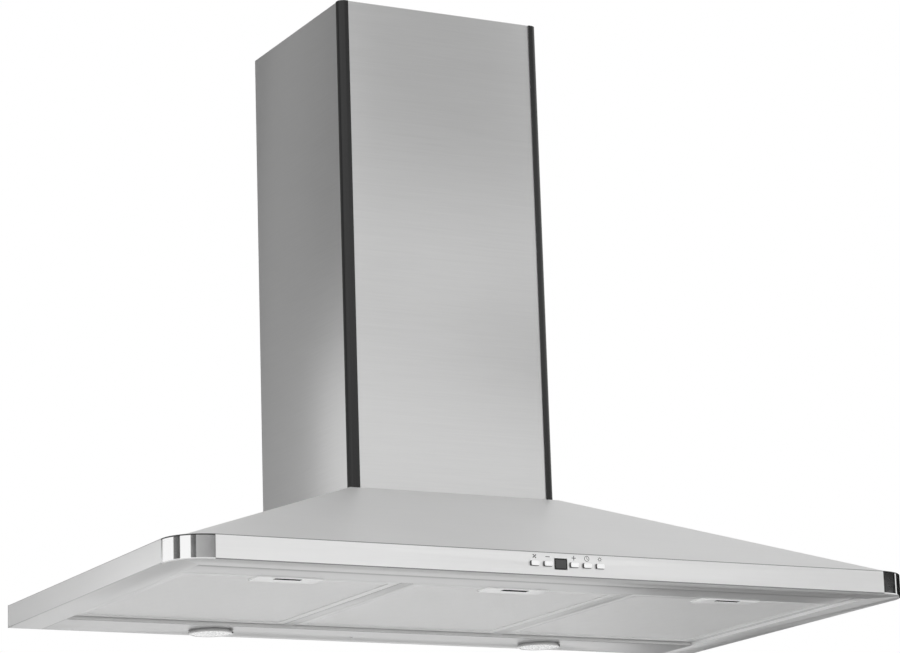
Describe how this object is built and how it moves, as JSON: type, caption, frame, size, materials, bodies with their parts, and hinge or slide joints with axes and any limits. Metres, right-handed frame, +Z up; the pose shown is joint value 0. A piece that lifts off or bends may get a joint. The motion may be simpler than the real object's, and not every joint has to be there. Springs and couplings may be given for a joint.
{
  "type": "chimney range hood",
  "caption": "Wall-mounted chimney range hood with a low pyramid canopy, rounded polished corners, drop-down mesh filters, lamps in the underside and push buttons beside a display",
  "frame": {"origin": "midway between the two wall screw holes, on the wall plane", "axes": "+X to the right as seen from the front, +Y towards the wall, +Z up"},
  "size_m": [0.9, 0.5025, 0.721],
  "materials": {
    "canopy_steel": "fine horizontal brushed grain",
    "chimney_steel": "fine horizontal brushed grain",
    "rim_steel": "fine brushed grain along the rim",
    "rail_steel": "brushed, slightly darker than the rim",
    "polished_steel": "mirror polished",
    "zinc_sheet": "plain zinc-coated sheet",
    "trim_black": "gloss black",
    "filter_aluminium": "satin",
    "filter_mesh": "fine pressed mesh",
    "handle_metal": "satin",
    "button_plastic": "light grey gloss",
    "display_glass": "smoked gloss window",
    "white_plastic": "matt moulded",
    "black_plastic": "matt moulded",
    "circuit_board": "green board",
    "motor_paint": "dark cast and laminated iron",
    "screw_steel": "bright plated",
    "lamp_glass": "frosted",
    "bulb_glass": "clear halogen capsule",
    "reflector_aluminium": "bright spun"
  },
  "bodies": {
    "hood": {"canopy_shell": "canopy_steel", "back_panel": "zinc_sheet", "front_band": "rim_steel", "left_band": "rim_steel", "right_band": "rim_steel", "corner_cap_left": "polished_steel", "corner_cap_right": "polished_steel", "front_rail": "rail_steel", "divider_left": "rail_steel", "divider_right": "rail_steel", "lamp_panel": "rim_steel", "display_window": "display_glass", "control_housing": "white_plastic", "control_board": "circuit_board", "motor_box": "zinc_sheet", "motor_box_screws": "screw_steel", "blower_housing": "zinc_sheet", "motor": "motor_paint", "motor_plate": "zinc_sheet", "outlet_collar": "black_plastic", "damper_rod": "screw_steel", "electrical_box": "white_plastic", "capacitor": "white_plastic", "cable_gland": "black_plastic", "chimney_front_panel": "chimney_steel", "chimney_left_panel": "chimney_steel", "chimney_right_panel": "chimney_steel", "chimney_trim_left": "trim_black", "chimney_trim_right": "trim_black", "flue_bracket": "zinc_sheet", "lamp_bezel_left": "polished_steel", "lamp_lens_left": "lamp_glass", "lamp_reflector_left": "reflector_aluminium", "lamp_bulb_left": "bulb_glass", "lamp_bezel_right": "polished_steel", "lamp_lens_right": "lamp_glass", "lamp_reflector_right": "reflector_aluminium", "lamp_bulb_right": "bulb_glass"},
    "button_fan": {"button_fan": "button_plastic"},
    "button_slower": {"button_slower": "button_plastic"},
    "button_faster": {"button_faster": "button_plastic"},
    "button_timer": {"button_timer": "button_plastic"},
    "button_light": {"button_light": "button_plastic"},
    "filter_left": {"filter_frame_1": "filter_aluminium", "filter_mesh_1": "filter_mesh", "filter_handle_1": "handle_metal"},
    "catch_left": {"filter_catch_1": "black_plastic"},
    "filter_middle": {"filter_frame_2": "filter_aluminium", "filter_mesh_2": "filter_mesh", "filter_handle_2": "handle_metal"},
    "catch_middle": {"filter_catch_2": "black_plastic"},
    "filter_right": {"filter_frame_3": "filter_aluminium", "filter_mesh_3": "filter_mesh", "filter_handle_3": "handle_metal"},
    "catch_right": {"filter_catch_3": "black_plastic"},
    "fan_wheel": {"impeller": "black_plastic", "motor_shaft": "screw_steel"},
    "flap_front": {"damper_flap_front": "black_plastic"},
    "flap_rear": {"damper_flap_rear": "black_plastic"},
    "flue": {"upper_flue": "chimney_steel"}
  },
  "joints": [
    {"name": "button_fan_press", "type": "slide", "parent": "hood", "child": "button_fan", "axis": [0, 1, 0], "range_m": [0, 0.0015], "stiffness_N_per_m": 400, "springref_m": -0.001},
    {"name": "button_slower_press", "type": "slide", "parent": "hood", "child": "button_slower", "axis": [0, 1, 0], "range_m": [0, 0.0015], "stiffness_N_per_m": 400, "springref_m": -0.001},
    {"name": "button_faster_press", "type": "slide", "parent": "hood", "child": "button_faster", "axis": [0, 1, 0], "range_m": [0, 0.0015], "stiffness_N_per_m": 400, "springref_m": -0.001},
    {"name": "button_timer_press", "type": "slide", "parent": "hood", "child": "button_timer", "axis": [0, 1, 0], "range_m": [0, 0.0015], "stiffness_N_per_m": 400, "springref_m": -0.001},
    {"name": "button_light_press", "type": "slide", "parent": "hood", "child": "button_light", "axis": [0, 1, 0], "range_m": [0, 0.0015], "stiffness_N_per_m": 400, "springref_m": -0.001},
    {"name": "filter_left_open", "type": "hinge", "parent": "hood", "child": "filter_left", "pos_m": [-0.274, -0.0865, -0.0765], "axis": [1, 0, 0], "range_deg": [0, 75]},
    {"name": "catch_left_draw", "type": "slide", "parent": "filter_left", "child": "catch_left", "axis": [0, 1, 0], "range_m": [0, 0.006], "stiffness_N_per_m": 300, "springref_m": -0.004},
    {"name": "filter_middle_open", "type": "hinge", "parent": "hood", "child": "filter_middle", "pos_m": [0, -0.0865, -0.0765], "axis": [1, 0, 0], "range_deg": [0, 75]},
    {"name": "catch_middle_draw", "type": "slide", "parent": "filter_middle", "child": "catch_middle", "axis": [0, 1, 0], "range_m": [0, 0.006], "stiffness_N_per_m": 300, "springref_m": -0.004},
    {"name": "filter_right_open", "type": "hinge", "parent": "hood", "child": "filter_right", "pos_m": [0.274, -0.0865, -0.0765], "axis": [1, 0, 0], "range_deg": [0, 75]},
    {"name": "catch_right_draw", "type": "slide", "parent": "filter_right", "child": "catch_right", "axis": [0, 1, 0], "range_m": [0, 0.006], "stiffness_N_per_m": 300, "springref_m": -0.004},
    {"name": "fan_spin", "type": "hinge", "parent": "hood", "child": "fan_wheel", "pos_m": [-0.03, -0.121, 0.146], "axis": [0, 1, 0], "continuous": true},
    {"name": "flap_front_lift", "type": "hinge", "parent": "hood", "child": "flap_front", "pos_m": [0, -0.121, 0.323], "axis": [-1, 0, 0], "range_deg": [0, 75]},
    {"name": "flap_rear_lift", "type": "hinge", "parent": "hood", "child": "flap_rear", "pos_m": [0, -0.121, 0.323], "axis": [1, 0, 0], "range_deg": [0, 75]},
    {"name": "flue_raise", "type": "slide", "parent": "hood", "child": "flue", "axis": [0, 0, 1], "range_m": [0, 0.35]}
  ]
}
